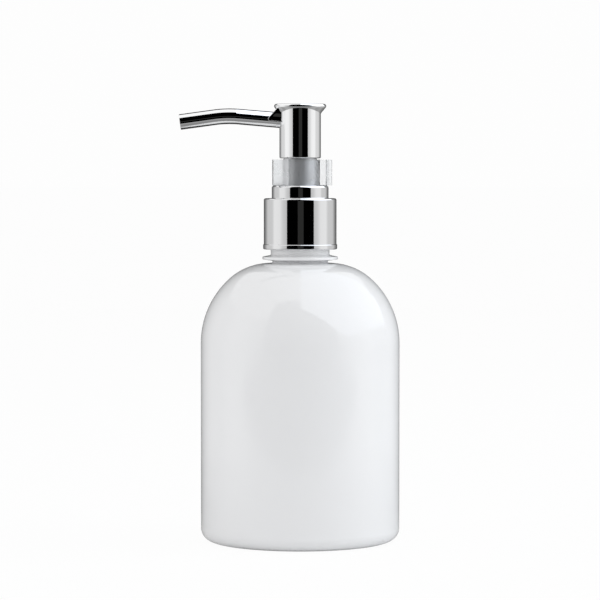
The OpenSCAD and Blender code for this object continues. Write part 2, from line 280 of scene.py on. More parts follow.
def bottle_outside(bm, v):
    """Draws the outside from the push-up to the top of the neck."""
    gate = math.degrees(math.asin(GATE_R / DOME_R))
    foot = math.degrees(math.asin(FOOT_IN / DOME_R))
    v = line(bm, v, GATE_R, PUSH_UP - GATE_DEPTH)
    v = line(bm, v, GATE_R, PUSH_UP - DOME_R + DOME_R * math.cos(math.radians(gate)))
    v = arc(bm, v, 0.0, PUSH_UP - DOME_R, gate - foot, steps=16)
    v = line(bm, v, BODY_R - HEEL_R, 0.0)
    v = arc(bm, v, BODY_R - HEEL_R, HEEL_R, 90, steps=14)
    v = line(bm, v, BODY_R, WALL_TOP)
    v = arc(bm, v, SHOULDER_X, WALL_TOP, CREST_AT, steps=36)
    v = arc(bm, v, CREST_X, CREST_Z, 90 - CREST_AT, steps=28)
    v = follow(bm, v, STUB_R, CREST_TOP, STUB_FOOT)
    v = follow(bm, v, STUB_R, RING_Z, STUB_HEAD)
    v = follow(bm, v, RING_R, RING_Z, RING_EDGE)
    v = follow(bm, v, NECK_R, RING_TOP, NECK_FOOT)
    v = line(bm, v, NECK_R, FINISH_Z - LIP_EASE)
    return arc(bm, v, NECK_R - LIP_EASE, FINISH_Z - LIP_EASE, 90, steps=4)


def bottle_inside(bm, v):
    """Draws the inside from the rim of the neck down to the middle of the base."""
    v = line(bm, v, BORE_R + LIP_EASE, FINISH_Z)
    v = arc(bm, v, BORE_R + LIP_EASE, FINISH_Z - LIP_EASE, 90, steps=4)
    v = line(bm, v, BORE_R, CREST_TOP - WALL)
    v = line(bm, v, CREST_X, CREST_TOP - WALL)
    v = arc(bm, v, CREST_X, CREST_Z, CREST_AT - 90, steps=20)
    v = arc(bm, v, SHOULDER_X, WALL_TOP, -CREST_AT, steps=24)
    v = line(bm, v, BODY_R - WALL, HEEL_R)
    v = arc(bm, v, BODY_R - HEEL_R, HEEL_R, -90, steps=10)
    v = line(bm, v, FOOT_IN, WALL)
    return line(bm, v, 0.0, PUSH_UP + WALL)


bottle_bm, bottle_first = start(0.0, PUSH_UP - GATE_DEPTH)
bottle_last = bottle_inside(bottle_bm, bottle_outside(bottle_bm, bottle_first))
turn(bottle_bm, bottle_first, bottle_last, BOTTLE_STEPS)
print("bottle section turned")

# %% [markdown]
# ## The thread on the neck
#
# A screw thread is a small trapezoid swept along a helix. The spin does that when it also
# rises a little at each step. The thread is one and a half turns with a face at each end,
# and it stays a separate shell that sits 0.3 mm deep in the neck's wall.

# %% The thread
THREAD_R, PITCH, THREAD_TURNS, THREAD_STEPS = 13.65, 4.233, 1.5, 72
THREAD_SUNK, THREAD_BELOW = 0.3, 2.3
ROOT_HALF, TOP_HALF = 1.2, 0.5


def add_thread(bm, z0):
    """Sweeps the thread's trapezoid up a helix round the neck."""
    root_r = NECK_R - THREAD_SUNK
    section = [(root_r, -ROOT_HALF), (THREAD_R, -TOP_HALF), (THREAD_R, TOP_HALF), (root_r, ROOT_HALF)]
    face = bm.faces.new([bm.verts.new(Vector((x, 0.0, z0 + z)) * MM) for x, z in section])
    rise = PITCH * THREAD_TURNS / THREAD_STEPS * MM
    angle = math.radians(360 * THREAD_TURNS)
    spin(bm, [face, *face.verts, *face.edges], ORIGIN, ABOUT_Z, angle, THREAD_STEPS, rise=rise)


add_thread(bottle_bm, FINISH_Z - THREAD_BELOW - THREAD_TURNS * PITCH)
bottle = keep(bottle_bm, "bottle_blown", "bottle", "bottle")

# %% [markdown]
# ## The chrome collar
#
# The collar is drawn from thin sheet: it hides the screw closure, ends below in a rolled
# bead and steps in at the top. Every bend of drawn sheet has a radius, and on chrome that
# radius is what catches the light as a thin bright line, so each corner is an arc.

# %% The collar
COLLAR_R, BEAD_R, STEP_R, HOLE_R, SHEET = 15.86, 16.16, 12.37, 7.75, 0.5
BEAD_ABOVE_RING, BEAD_H, COLLAR_ABOVE_NECK, STEP_H = 2.4, 2.2, 6.6, 5.7
BEAD_LOW_BEND, BEAD_TOP_BEND, BEAD_SEAM = 0.5, 0.3, 0.06
CORNER_BEND, CREASE_BEND, STEP_BEND, HOLE_BEND = 0.8, 0.35, 1.2, 0.15
COLLAR_STEPS = 144
BEAD_Z = RING_TOP + BEAD_ABOVE_RING
BEAD_TOP = BEAD_Z + BEAD_H
COLLAR_TOP = FINISH_Z + COLLAR_ABOVE_NECK
STEP_TOP = COLLAR_TOP + STEP_H


def collar_outside(bm, v):
    """Draws the outside from the foot of the bead over the step to the hole."""
    v = line(bm, v, BEAD_R - BEAD_LOW_BEND, BEAD_Z)
    v = arc(bm, v, BEAD_R - BEAD_LOW_BEND, BEAD_Z + BEAD_LOW_BEND, 90, steps=6)
    v = line(bm, v, BEAD_R, BEAD_TOP - BEAD_TOP_BEND)
    v = arc(bm, v, BEAD_R - BEAD_TOP_BEND, BEAD_TOP - BEAD_TOP_BEND, 75, steps=5)
    v = line(bm, v, COLLAR_R, BEAD_TOP + BEAD_SEAM)
    v = line(bm, v, COLLAR_R, COLLAR_TOP - CORNER_BEND)
    v = arc(bm, v, COLLAR_R - CORNER_BEND, COLLAR_TOP - CORNER_BEND, 90, steps=8)
    v = line(bm, v, STEP_R + CREASE_BEND, COLLAR_TOP)
    v = arc(bm, v, STEP_R + CREASE_BEND, COLLAR_TOP + CREASE_BEND, -90, steps=5)
    v = line(bm, v, STEP_R, STEP_TOP - STEP_BEND)
    v = arc(bm, v, STEP_R - STEP_BEND, STEP_TOP - STEP_BEND, 90, steps=10)
    v = line(bm, v, HOLE_R + HOLE_BEND, STEP_TOP)
    return arc(bm, v, HOLE_R + HOLE_BEND, STEP_TOP - HOLE_BEND, 90, steps=3)


def collar_inside(bm, v):
    """Draws the inside from the hole down to the foot, one sheet away from the outside."""
    v = line(bm, v, HOLE_R, STEP_TOP - SHEET)
    v = line(bm, v, STEP_R - STEP_BEND, STEP_TOP - SHEET)
    v = arc(bm, v, STEP_R - STEP_BEND, STEP_TOP - STEP_BEND, -90, steps=6)
    v = line(bm, v, STEP_R - SHEET, COLLAR_TOP - SHEET)
    v = line(bm, v, COLLAR_R - CORNER_BEND, COLLAR_TOP - SHEET)
    return arc(bm, v, COLLAR_R - CORNER_BEND, COLLAR_TOP - CORNER_BEND, -90, steps=4)


collar_bm, collar_first = start(COLLAR_R - SHEET, BEAD_Z)
collar_last = collar_inside(collar_bm, collar_outside(collar_bm, collar_first))
turn(collar_bm, collar_first, collar_last, COLLAR_STEPS)
collar = keep(collar_bm, "collar_chrome", "collar_shell", "collar")

# %% [markdown]
# ## The sleeve
#
# Between the collar and the head runs a plain metal sleeve. It goes down with the head,
# through the hole in the collar, so its lower edge is rounded and hidden inside the pump.

# %% The sleeve
SLEEVE_R, SLEEVE_T, SLEEVE_EASE = 7.3, 0.7, 0.3
SLEEVE_IN_COLLAR, SLEEVE_ABOVE_COLLAR = 2.0, 22.55
SLEEVE_STEPS = 128
SLEEVE_Z = STEP_TOP - SLEEVE_IN_COLLAR
SLEEVE_TOP = STEP_TOP + SLEEVE_ABOVE_COLLAR

sleeve_bm, sleeve_first = start(SLEEVE_R - SLEEVE_T, SLEEVE_Z)
vert = line(sleeve_bm, sleeve_first, SLEEVE_R - SLEEVE_EASE, SLEEVE_Z)
vert = arc(sleeve_bm, vert, SLEEVE_R - SLEEVE_EASE, SLEEVE_Z + SLEEVE_EASE, 90, steps=4)
vert = line(sleeve_bm, vert, SLEEVE_R, SLEEVE_TOP)
sleeve_last = line(sleeve_bm, vert, SLEEVE_R - SLEEVE_T, SLEEVE_TOP)
turn(sleeve_bm, sleeve_first, sleeve_last, SLEEVE_STEPS)
sleeve = keep(sleeve_bm, "sleeve_chrome", "stem_sleeve", "head")

# %% [markdown]
# ## The head
#
# The head is a cap with a straight skirt under an oval rim, where the finger rests. The rim
# is longer along the spout than across it: seen from the side it flares out by 45 degrees,
# and seen from the front it hardly stands out from the skirt. So the two are turned one by
# one, and the rim is then squeezed across. It meets the skirt in a curve that is low at the
# sides and high in front. The skirt is hollow from below, as it slides over the sleeve.

# %% The head's skirt and its oval rim
HEAD_R, HEAD_H, HEAD_ABOVE_COLLAR = 9.02, 23.7, 11.7
SKIRT_T, SKIRT_EASE, LID_T, LID_TOP = 1.0, 0.6, 1.2, 1.1
RIM_R, RIM_SHARE, RIM_EDGE = 11.36, 0.82, 1.0
RIM_FLOOR, RIM_INSIDE, RIM_DEPTH = 1.15, 1.6, 4.3
FLARE = ((-0.12, -RIM_DEPTH), (0.0, -4.2), (0.14, -4.06), (0.62, -3.4), (1.1, -2.85))
FLARE_TILT = 43
CROWN_IN, CROWN_DROP = 2.2, 0.03
HEAD_STEPS = 144
HEAD_Z = STEP_TOP + HEAD_ABOVE_COLLAR
TOP_Z = HEAD_Z + HEAD_H


def skirt():
    """Turns the skirt: the wall, its rounded lower edge and the hollow."""
    bm, first = start(HEAD_R - SKIRT_T, HEAD_Z)
    v = line(bm, first, HEAD_R - SKIRT_EASE, HEAD_Z)
    v = arc(bm, v, HEAD_R - SKIRT_EASE, HEAD_Z + SKIRT_EASE, 90, steps=7)
    v = line(bm, v, HEAD_R, TOP_Z - LID_TOP)
    v = line(bm, v, 0.0, TOP_Z - LID_TOP)
    v = line(bm, v, 0.0, TOP_Z - LID_T)
    last = line(bm, v, HEAD_R - SKIRT_T, TOP_Z - LID_T)
    turn(bm, first, last, HEAD_STEPS)
    return bm


def oval_rim():
    """Turns the rim, with its flare, rolled edge and nearly flat top, and squeezes it."""
    bm, first = start(0.0, TOP_Z - RIM_FLOOR)
    v = line(bm, first, HEAD_R - RIM_INSIDE, TOP_Z - RIM_FLOOR)
    v = line(bm, v, HEAD_R - RIM_INSIDE, TOP_Z - RIM_DEPTH)
    v = follow(bm, v, HEAD_R, TOP_Z, FLARE)
    tilt = math.radians(FLARE_TILT)
    edge_x, edge_z = RIM_R - RIM_EDGE, TOP_Z - RIM_EDGE
    v = line(bm, v, edge_x + RIM_EDGE * math.cos(tilt), edge_z - RIM_EDGE * math.sin(tilt))
    v = arc(bm, v, edge_x, edge_z, 90 + FLARE_TILT, steps=16)
    v = line(bm, v, RIM_R - CROWN_IN, TOP_Z - CROWN_DROP)
    last = line(bm, v, 0.0, TOP_Z - CROWN_DROP)
    turn(bm, first, last, HEAD_STEPS)
    bmesh.ops.scale(bm, vec=(1.0, RIM_SHARE, 1.0), verts=bm.verts[:])
    return bm


head_bm = skirt()
rim_bm = oval_rim()
rim_mesh = bpy.data.meshes.new("rim")
rim_bm.to_mesh(rim_mesh)
rim_bm.free()
head_bm.from_mesh(rim_mesh)
bpy.data.meshes.remove(rim_mesh)
print("head:", len(head_bm.faces), "faces")

# %% [markdown]
# ## The gusset
#
# On the spout's side a flat block, the gusset, ties the rim to the tube. It is a little
# wider than the tube, so its sides lie flat on both sides of it and end at the tube's
# middle. It is drawn as its side view, extruded to its width and bevelled a little.

# %% The gusset over the spout
CLIMB = math.radians(4.9)
AXIS_DROP = 7.85
GUSSET_W, GUSSET_X, GUSSET_ROOT_X, GUSSET_TOP_X = 7.6, 13.9, 7.5, 9.7
GUSSET_DROP, NOSE_HALF, CUT_EASE = 1.5, 0.6, 0.16
AXIS_Z = TOP_Z - AXIS_DROP


def add_gusset(bm):
    """Extrudes the gusset's side view to its width, as a shell of its own."""
    nose = AXIS_Z + GUSSET_X * math.tan(CLIMB)
    side = [
        (-GUSSET_ROOT_X, AXIS_Z),
        (-GUSSET_X, nose - NOSE_HALF),
        (-GUSSET_X, nose + NOSE_HALF),
        (-GUSSET_TOP_X, TOP_Z - GUSSET_DROP),
        (-GUSSET_ROOT_X, TOP_Z - GUSSET_DROP),
    ]
    face = bm.faces.new([bm.verts.new(Vector((x, GUSSET_W / 2, z)) * MM) for x, z in side])
    moved = verts_in(bmesh.ops.extrude_face_region(bm, geom=[face])["geom"])
    bmesh.ops.translate(bm, verts=moved, vec=(0.0, -GUSSET_W * MM, 0.0))
    verts = set(face.verts) | set(moved)
    ease(bm, [e for e in bm.edges if set(e.verts) <= verts], CUT_EASE)


add_gusset(head_bm)
head = keep(head_bm, "head_chrome", "head_shell", "head")

# %% [markdown]
# ## The spout
#
# The spout is a length of tube that climbs gently, bends once and falls to its tip. A tube
# is two circles, one for each wall. Extruding both gives the straight lengths, and spinning
# both about the centre of the bend gives the bend. The ends are bridged, and the rim of the
# tip gets a small bevel, as a cut tube has once it is deburred.

# %% The spout
SPOUT_R, SPOUT_IN_R = 3.4, 2.6
DROP, BEND_R = math.radians(7.9), 49.0
ROOT, BEND_X, TIP_LEN = 3.0, 32.1, 20.5
SPOUT_SEGMENTS, BEND_STEPS = 72, 18
TURN = CLIMB + DROP
TANGENT = BEND_R * math.tan(TURN / 2)
LEG = BEND_X / math.cos(CLIMB) - TANGENT - ROOT


def push(bm, edges, way, length):
    """Extrudes open edge loops along a direction and returns the loops at the new end."""
    for part in (HOLD / MM, length - 2 * HOLD / MM, HOLD / MM):
        made = bmesh.ops.extrude_edge_only(bm, edges=edges)["geom"]
        moved = verts_in(made)
        bmesh.ops.translate(bm, verts=moved, vec=way * part * MM)
        ends = set(moved)
        edges = [e for e in edges_in(made) if set(e.verts) <= ends]
    return edges


def spout_mesh():
    """Sweeps the two circles of the tube along the spout."""
    bm = bmesh.new()
    out = Vector((-math.cos(CLIMB), 0.0, math.sin(CLIMB)))
    down = Vector((-math.sin(CLIMB), 0.0, -math.cos(CLIMB)))
    fall = Vector((-math.cos(DROP), 0.0, -math.sin(DROP)))
    centre = Vector((0.0, 0.0, AXIS_Z)) * MM
    place = Matrix.Translation(centre + out * ROOT * MM)
    place = place @ out.to_track_quat("Z", "Y").to_matrix().to_4x4()
    for radius in (SPOUT_R, SPOUT_IN_R):
        bmesh.ops.create_circle(
            bm, cap_ends=False, radius=radius * MM, segments=SPOUT_SEGMENTS, matrix=place
        )
    root = bm.edges[:]
    edges = push(bm, root, out, LEG)
    bend_at = centre + out * (ROOT + LEG) * MM + down * BEND_R * MM
    bent = edges + list({v for e in edges for v in e.verts})
    edges = edges_in(spin(bm, bent, bend_at, ABOUT_Y, TURN, BEND_STEPS))
    tip = push(bm, edges, fall, TIP_LEN - TANGENT)
    bmesh.ops.bridge_loops(bm, edges=root)
    bmesh.ops.bridge_loops(bm, edges=tip)
    ease(bm, [e for e in tip if e.is_valid], CUT_EASE)
    return bm


spout = keep(spout_mesh(), "spout_chrome", "spout", "head")

# %% [markdown]
# ## The lock clip
#
# The clip is one clear moulding, the same in every slice: a ring that snaps over the
# sleeve, two lips that guide it on, and on the far side a fin with a grip bar to pull it
# off. Seen from above the ring and the lips are one strip, so a vertex is led along that
# path, the path is extruded to the clip's height, and the strip gets its thickness.

# %% The lock clip
CLIP_Z, CLIP_H, CLIP_T, CLIP_IN_R = STEP_TOP, 11.15, 1.22, 7.4
MOUTH, LIP_X, SPLAY = 6.4, 11.12, math.radians(24)
CLIP_STEPS = 72
CLIP_R = CLIP_IN_R + CLIP_T / 2


def clip_strip():
    """The ring and its two lips, as one strip with a thickness."""
    bm = bmesh.new()
    turn_in = math.asin(MOUTH / CLIP_R)
    mouth_x = CLIP_R * math.cos(turn_in)
    lip_y = MOUTH + (LIP_X - mouth_x) * math.tan(SPLAY)
    vert = bm.verts.new(Vector((-LIP_X, lip_y, CLIP_Z)) * MM)
    vert = bmesh.ops.extrude_vert_indiv(bm, verts=[vert])["verts"][0]
    vert.co = Vector((-mouth_x, MOUTH, CLIP_Z)) * MM
    clockwise = (0.0, 0.0, -1.0)
    made = spin(bm, [vert], ORIGIN, clockwise, 2 * (math.pi - turn_in), CLIP_STEPS)
    vert = bmesh.ops.extrude_vert_indiv(bm, verts=verts_in(made)[:1])["verts"][0]
    vert.co = Vector((-LIP_X, -lip_y, CLIP_Z)) * MM
    push(bm, bm.edges[:], Vector((0.0, 0.0, 1.0)), CLIP_H)
    bmesh.ops.recalc_face_normals(bm, faces=bm.faces[:])
    bmesh.ops.solidify(bm, geom=bm.faces[:], thickness=CLIP_T * MM)
    return bm


clip_bm = clip_strip()
print("clip strip:", len(clip_bm.faces), "faces")

# %% [markdown]
# The strip's thickness may grow to one side only, so it is set back by half of it. The fin
# is a thin plate and the bar a post; both run the full height, and their edges are eased.

# %% The clip's fin and grip bar
FIN_T, FIN_FROM_X = 1.2, 8.2
GRIP_R, GRIP_X, GRIP_SEGMENTS = 1.35, 13.9, 40
CLIP_EASE, CLIP_CORNER = 0.18, 1.0


def centre_wall(bm):
    """Moves the strip's walls so that the inner one lies on the ring's inner radius."""
    radii = [math.hypot(v.co.x, v.co.y) for v in bm.verts if v.co.x > 0]
    shift = CLIP_R * MM - (min(radii) + max(radii)) / 2
    for v in bm.verts:
        away = Vector((v.co.x, v.co.y, 0.0))
        v.co += away.normalized() * shift
    inner, outer = (min(radii) + shift) / MM, (max(radii) + shift) / MM
    print(f"ring from {inner:.2f} to {outer:.2f} mm")


def add_grip(bm):
    """Adds the fin and the grip bar as shells that start inside the ring's wall."""
    middle = (CLIP_Z + CLIP_H / 2) * MM
    bar_x = GRIP_X - GRIP_R
    plate = Matrix.Diagonal(((bar_x - FIN_FROM_X) * MM, FIN_T * MM, CLIP_H * MM, 1.0))
    plate_at = Matrix.Translation(((FIN_FROM_X + bar_x) / 2 * MM, 0.0, middle))
    bmesh.ops.create_cube(bm, size=1.0, matrix=plate_at @ plate)
    bmesh.ops.create_cone(
        bm,
        cap_ends=True,
        cap_tris=False,
        segments=GRIP_SEGMENTS,
        radius1=GRIP_R * MM,
        radius2=GRIP_R * MM,
        depth=CLIP_H * MM,
        matrix=Matrix.Translation((bar_x * MM, 0.0, middle)),
    )


def corners(bm):
    """The edges whose two faces turn by more than CLIP_CORNER, which is in radians."""
    closed = [e for e in bm.edges if len(e.link_faces) == 2]
    return [e for e in closed if e.calc_face_angle() > CLIP_CORNER]


centre_wall(clip_bm)
add_grip(clip_bm)
ease(clip_bm, corners(clip_bm), CLIP_EASE)
clip = keep(clip_bm, "lock_clip_clear", "lock_clip", "clip")

# %% [markdown]
# ## Materials
#
# Every finish here is a Principled shader. What makes a finish real is small: chrome is not
# one even mirror but carries a faint waviness and haze, blown plastic has a soft unevenness
# in its gloss, and clear polypropylene is milky. A noise texture on object coordinates sets
# the roughness within a narrow band, and a second one gives a very low bump.

# %% A helper for finishes
BUMP_HEIGHT = 0.2 * MM
NOISE_DETAIL = 3.0


def new_material(name):
    """A material with its nodes and links."""
    material = bpy.data.materials.new(name)
    material.use_nodes = True
    return material, material.node_tree.nodes, material.node_tree.links


def principled(material):
    """The Principled shader of a material."""
    return material.node_tree.nodes["Principled BSDF"]


def finish(name, colour, metallic, rough, rough_spread, scale, bump, bump_scale):
    """A material whose roughness wanders within a band and whose surface is slightly uneven."""
    material, nodes, links = new_material(name)
    shader = principled(material)
    shader.inputs["Base Color"].default_value = (*colour, 1.0)
    shader.inputs["Metallic"].default_value = metallic
    place = nodes.new("ShaderNodeTexCoord")
    noise = nodes.new("ShaderNodeTexNoise")
    noise.inputs["Scale"].default_value = scale
    noise.inputs["Detail"].default_value = NOISE_DETAIL
    spread = nodes.new("ShaderNodeMapRange")
    spread.inputs["To Min"].default_value = rough - rough_spread
    spread.inputs["To Max"].default_value = rough + rough_spread
    links.new(place.outputs["Object"], noise.inputs["Vector"])
    links.new(noise.outputs["Fac"], spread.inputs["Value"])
    links.new(spread.outputs["Result"], shader.inputs["Roughness"])
    fine = nodes.new("ShaderNodeTexNoise")
    fine.inputs["Scale"].default_value = bump_scale
    relief = nodes.new("ShaderNodeBump")
    relief.inputs["Strength"].default_value = bump
    relief.inputs["Distance"].default_value = BUMP_HEIGHT
    links.new(place.outputs["Object"], fine.inputs["Vector"])
    links.new(fine.outputs["Fac"], relief.inputs["Height"])
    links.new(relief.outputs["Normal"], shader.inputs["Normal"])
    return material


def dress(obj, material):
    """Gives an object one material."""
    obj.data.materials.clear()
    obj.data.materials.append(material)


# %% [markdown]
# The head and the spout are plated plastic and polished tube, so they are nearly a mirror.
# The collar is thin drawn metal under lacquer and a little greyer. The sleeve behind the
# clip has a satin surface, so it shows the dark cards only as a soft shade. The bottle is
# glossy white, and the clip is clear plastic with a haze.

# %% The finishes of the pieces that show
chrome = finish(
    "bright_chrome",
    (0.93, 0.933, 0.938),
    metallic=1.0,
    rough=0.035,
    rough_spread=0.015,
    scale=90,
    bump=0.02,
    bump_scale=45,
)
shell = finish(
    "bright_shell",
    (0.8, 0.803, 0.808),
    metallic=1.0,
    rough=0.045,
    rough_spread=0.015,
    scale=90,
    bump=0.02,
    bump_scale=45,
)
satin = finish(
    "satin_chrome",
    (0.93, 0.937, 0.95),
    metallic=1.0,
    rough=0.5,
    rough_spread=0.03,
    scale=200,
    bump=0.02,
    bump_scale=300,
)
white = finish(
    "blown_white",
    (0.92, 0.923, 0.932),
    metallic=0.0,
    rough=0.08,
    rough_spread=0.02,
    scale=25,
    bump=0.03,
    bump_scale=18,
)
principled(white).inputs["IOR"].default_value = 1.57
clear = finish(
    "hazy_clear_plastic",
    (0.98, 0.99, 0.998),
    metallic=0.0,
    rough=0.28,
    rough_spread=0.04,
    scale=140,
    bump=0.05,
    bump_scale=420,
)
principled(clear).inputs["IOR"].default_value = 1.4
principled(clear).inputs["Transmission Weight"].default_value = 0.93

for piece, material in (
    (bottle, white),
    (collar, shell),
    (sleeve, satin),
    (head, chrome),
    (spout, chrome),
    (clip, clear),
):
    dress(piece, material)
print("dressed 6 pieces that show")

# %% [markdown]
# The pieces inside are only seen when the pump is taken apart: moulded white and natural
# plastic, a soft seal, drawn spring wire and polished balls. They keep their CAD shapes.

# %% The finishes of the pieces inside
moulded = finish(
    "moulded_white",
    (0.84, 0.84, 0.835),
    metallic=0.0,
    rough=0.42,
    rough_spread=0.06,
    scale=120,
    bump=0.06,
    bump_scale=900,
)
natural = finish(
    "natural_pump_plastic",
    (0.78, 0.79, 0.775),
    metallic=0.0,
    rough=0.36,
    rough_spread=0.06,
    scale=120,
    bump=0.05,
    bump_scale=900,
)
seal = finish(
    "seal_foam",
    (0.72, 0.72, 0.71),
    metallic=0.0,
    rough=0.75,
    rough_spread=0.08,
    scale=300,
    bump=0.2,
    bump_scale=2500,
)
wire = finish(
    "spring_wire",
    (0.62, 0.625, 0.63),
    metallic=1.0,
    rough=0.28,
    rough_spread=0.06,
    scale=400,
    bump=0.08,
    bump_scale=1500,
)
ball = finish(
    "polished_ball",
    (0.68, 0.685, 0.69),
    metallic=1.0,
    rough=0.1,
    rough_spread=0.03,
    scale=200,
    bump=0.02,
    bump_scale=400,
)

inner_finish = {
    "closure": moulded,
    "head_core": moulded,
    "housing": natural,
    "housing_cap": natural,
    "dip_tube": natural,
    "piston": natural,
    "stem": natural,
    "gasket": seal,
    "return_spring": wire,
    "intake_ball": ball,
    "outlet_ball": ball,
}
for obj in [o for o in bpy.data.objects if o.get("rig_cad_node") in inner_finish]:
    dress(obj, inner_finish[obj["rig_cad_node"]])
print("dressed", len(inner_finish), "inner nodes")

# %% [markdown]
# ## The studio
#
# Chrome has no colour of its own: it shows the room. So a product photographer stands such
# a piece in a tent of white cloth and sets dark cards where a dark band is wanted. Only the
# rays that a shiny surface has thrown back see the tent and the cards here. All other rays
# pass through them, so the background stays clean from every side. A ray that passes the
# clear clip counts as glossy too, so `in_reflections` also asks that a shiny surface has
# thrown the ray back before.

# %% Helpers for the rays and the flat planes of the studio


def calculate(nodes, operation, second=None):
    """A Math node, with a number at its second input where one is given."""
    node = nodes.new("ShaderNodeMath")
    node.operation = operation
    if second is not None:
        node.inputs[1].default_value = second
    return node


def in_reflections(nodes, links, path):
    """1 for rays that a shiny surface has thrown back, also when they pass the clip after it."""
    once = calculate(nodes, "MINIMUM", 1.0)
    both = calculate(nodes, "MULTIPLY")
    links.new(path.outputs["Glossy Depth"], once.inputs[0])
    links.new(once.outputs["Value"], both.inputs[0])
    links.new(path.outputs["Is Glossy Ray"], both.inputs[1])
    return both.outputs["Value"]


def seen_directly(nodes, links, path):
    """1 for the camera's rays, also behind the clear clip."""
    either = calculate(nodes, "MAXIMUM")
    links.new(path.outputs["Is Camera Ray"], either.inputs[0])
    links.new(path.outputs["Is Transmission Ray"], either.inputs[1])
    return either.outputs["Value"]


def flat_plane(name, width, height, matrix):
    """A rectangle that belongs to the studio and not to the object."""
    bm = bmesh.new()
    bmesh.ops.create_grid(bm, x_segments=1, y_segments=1, size=0.5)
    bmesh.ops.scale(bm, vec=(width, height, 1.0), verts=bm.verts[:])
    bmesh.ops.transform(bm, matrix=matrix, verts=bm.verts[:])
    plane = make_object(bm, name)
    return plane


# %% [markdown]
# A card is a matt plane of one tone. It is placed by its azimuth, with 0 on the camera's
# side, and sized by the angle that it covers to both sides as seen from the bottle, because
# that angle is what sets the width of its band on a round piece of chrome.

# %% Helpers for the cards


def card_material(name, colour):
    """A matt card that only reflections see; all other rays pass through."""
    material, nodes, links = new_material(name)
    nodes.remove(principled(material))
    path = nodes.new("ShaderNodeLightPath")
    glow = nodes.new("ShaderNodeEmission")
    glow.inputs["Color"].default_value = (*colour, 1.0)
    through = nodes.new("ShaderNodeBsdfTransparent")
    mix = nodes.new("ShaderNodeMixShader")
    links.new(in_reflections(nodes, links, path), mix.inputs["Fac"])
    links.new(through.outputs["BSDF"], mix.inputs[1])
    links.new(glow.outputs["Emission"], mix.inputs[2])
    links.new(mix.outputs["Shader"], nodes["Material Output"].inputs["Surface"])
    return material


def wide(half_angle, distance):
    """The width of a card that covers this angle to both sides."""
    return 2 * distance * math.tan(math.radians(half_angle))


def card(name, azimuth, distance, half_angle, bottom, top, colour):
    """An upright card that faces the object; azimuth 0 is the camera's side."""
    a = math.radians(azimuth)
    centre = Vector((math.sin(a) * distance, -math.cos(a) * distance, (bottom + top) / 2))
    upright = Matrix.Rotation(a, 4, "Z") @ Matrix.Rotation(math.radians(90), 4, "X")
    matrix = Matrix.Translation(centre) @ upright
    plane = flat_plane(name, wide(half_angle, distance), top - bottom, matrix)
    dress(plane, card_material(name, colour))


# %% [markdown]
# The tent's tone runs round the object. It is a mid grey beside the front card, close to
# white at the flanks and dark behind, as cloth is that gets less and less light. That run
# gives the chrome its soft greys between the bright sides and the dark edges.

# %% The light tent
TENT_TONES = [
    (40, 0.58),
    (56, 0.72),
    (68, 0.92),
    (89, 0.95),
    (99, 0.72),
    (124, 0.68),
    (140, 0.32),
    (156, 0.14),
    (180, 0.05),
]
TENT_R, TENT_H, TENT_SEGMENTS = 2.0, 1.3, 96


def tent_tone(nodes, links):
    """The tone of the studio in the direction that a point lies in, seen from the object."""
    place = nodes.new("ShaderNodeTexCoord")
    split = nodes.new("ShaderNodeSeparateXYZ")
    toward = calculate(nodes, "MULTIPLY", -1.0)
    angle = calculate(nodes, "ARCTAN2")
    size = calculate(nodes, "ABSOLUTE")
    share = calculate(nodes, "DIVIDE", math.pi)
    ramp = nodes.new("ShaderNodeValToRGB")
    while len(ramp.color_ramp.elements) < len(TENT_TONES):
        ramp.color_ramp.elements.new(0.5)
    for stop, (degrees, tone) in zip(ramp.color_ramp.elements, TENT_TONES):
        stop.position = degrees / 180
        stop.color = (tone, tone, tone, 1.0)
    links.new(place.outputs["Object"], split.inputs["Vector"])
    links.new(split.outputs["Y"], toward.inputs[0])
    links.new(split.outputs["X"], angle.inputs[0])
    links.new(toward.outputs["Value"], angle.inputs[1])
    links.new(angle.outputs["Value"], size.inputs[0])
    links.new(size.outputs["Value"], share.inputs[0])
    links.new(share.outputs["Value"], ramp.inputs["Fac"])
    return ramp.outputs["Color"]


def light_tent():
    """A round wall of cloth whose tone runs with the angle away from the camera's side."""
    bm = bmesh.new()
    bmesh.ops.create_cone(
        bm,
        cap_ends=False,
        cap_tris=False,
        segments=TENT_SEGMENTS,
        radius1=TENT_R,
        radius2=TENT_R,
        depth=TENT_H,
        matrix=Matrix.Translation((0.0, 0.0, TENT_H / 2)),
    )
    tent = make_object(bm, "light_tent")
    material = card_material("light_tent", (1.0, 1.0, 1.0))
    nodes, links = material.node_tree.nodes, material.node_tree.links
    links.new(tent_tone(nodes, links), nodes["Emission"].inputs["Color"])
    dress(tent, material)


light_tent()
print(f"light tent {2 * TENT_R:.1f} m across and {TENT_H:.1f} m high")

# %% [markdown]
# The front card stands behind the camera and gives the black band down the middle of each
# round piece, and a narrow grey card before it gives the grey line in that band. The black
# card on the table carries the band on where the metal looks down, as on the bead and the
# lower half of the spout. The back card darkens the thin edge of each piece. The roof card
# is bright: it shows on the bottle's right shoulder and on what looks up.

# %% The cards
FRONT_AT, SLOT_AT, BACK_AT = 1.42, 1.37, 1.9
BLACK = (0.0003, 0.0003, 0.0003)
TABLE_BLACK = (0.0006, 0.0006, 0.0006)
SLOT_GREY = (0.028, 0.028, 0.027)
BACK_GREY = (0.05, 0.05, 0.05)
ROOF_WHITE = (1.5, 1.58, 1.7)
TABLE_ANGLE, TABLE_NEAR, TABLE_UP = 42, 0.33, 0.002
ROOF_PLACE, ROOF_SIZE, ROOF_TILT = (0.85, -0.2, 1.1), (2.1, 2.4), math.radians(38)

